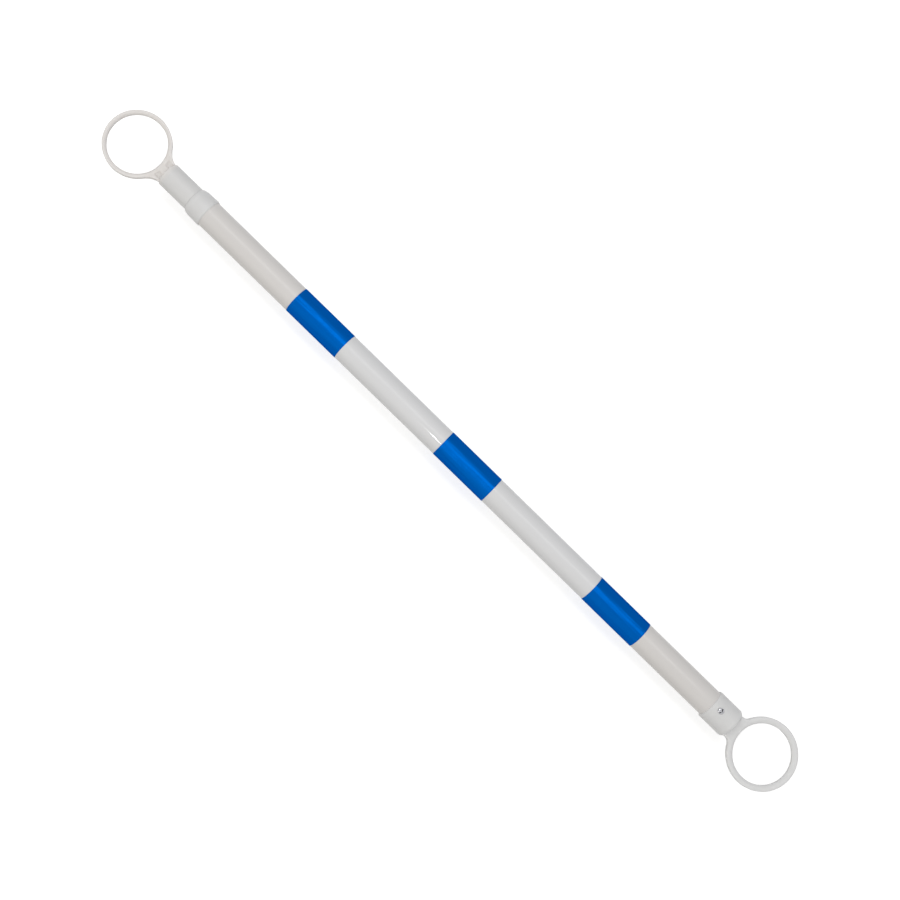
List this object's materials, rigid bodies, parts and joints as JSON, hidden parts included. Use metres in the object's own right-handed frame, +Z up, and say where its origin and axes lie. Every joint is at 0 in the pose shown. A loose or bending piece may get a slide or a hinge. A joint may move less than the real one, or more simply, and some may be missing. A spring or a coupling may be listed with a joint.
{
  "type": "telescopic cone bar",
  "caption": "Telescopic white barrier bar with blue reflective bands and a ring at each end that drops over a traffic cone's tip; the inner tube slides out and turns.",
  "frame": {"origin": "middle of the fixed ring's bore", "axes": "+X runs along the bar from the fixed ring to the sliding ring; +Z is up, along the ring bores; a cone's tip enters the rings from below"},
  "size_m": [1.0911, 0.0856, 0.0395],
  "materials": {
    "white_tube": "extruded white plastic tube, glossy",
    "white_moulded": "moulded white plastic, satin",
    "blue_film": "blue retroreflective film, metallic sheen",
    "steel": "bright plated steel",
    "grey_plastic": "grey slide plastic, matt"
  },
  "bodies": {
    "outer": {"outer_tube": "white_tube", "mouth_collar": "white_moulded", "fixed_ring": "white_moulded", "fixed_ring_screw": "steel", "blue_band_1": "blue_film", "blue_band_2": "blue_film", "blue_band_3": "blue_film"},
    "slider": {"friction_ring": "grey_plastic"},
    "inner": {"inner_tube": "white_tube", "sliding_ring": "white_moulded", "sliding_ring_screw": "steel", "stop_bush": "grey_plastic", "tail_plug": "grey_plastic"}
  },
  "joints": [
    {"name": "tube_slide", "type": "slide", "parent": "outer", "child": "slider", "axis": [1, 0, 0], "range_m": [0, 0.72]},
    {"name": "tube_turn", "type": "hinge", "parent": "slider", "child": "inner", "pos_m": [0.086, 0, 0], "axis": [1, 0, 0], "continuous": true}
  ]
}
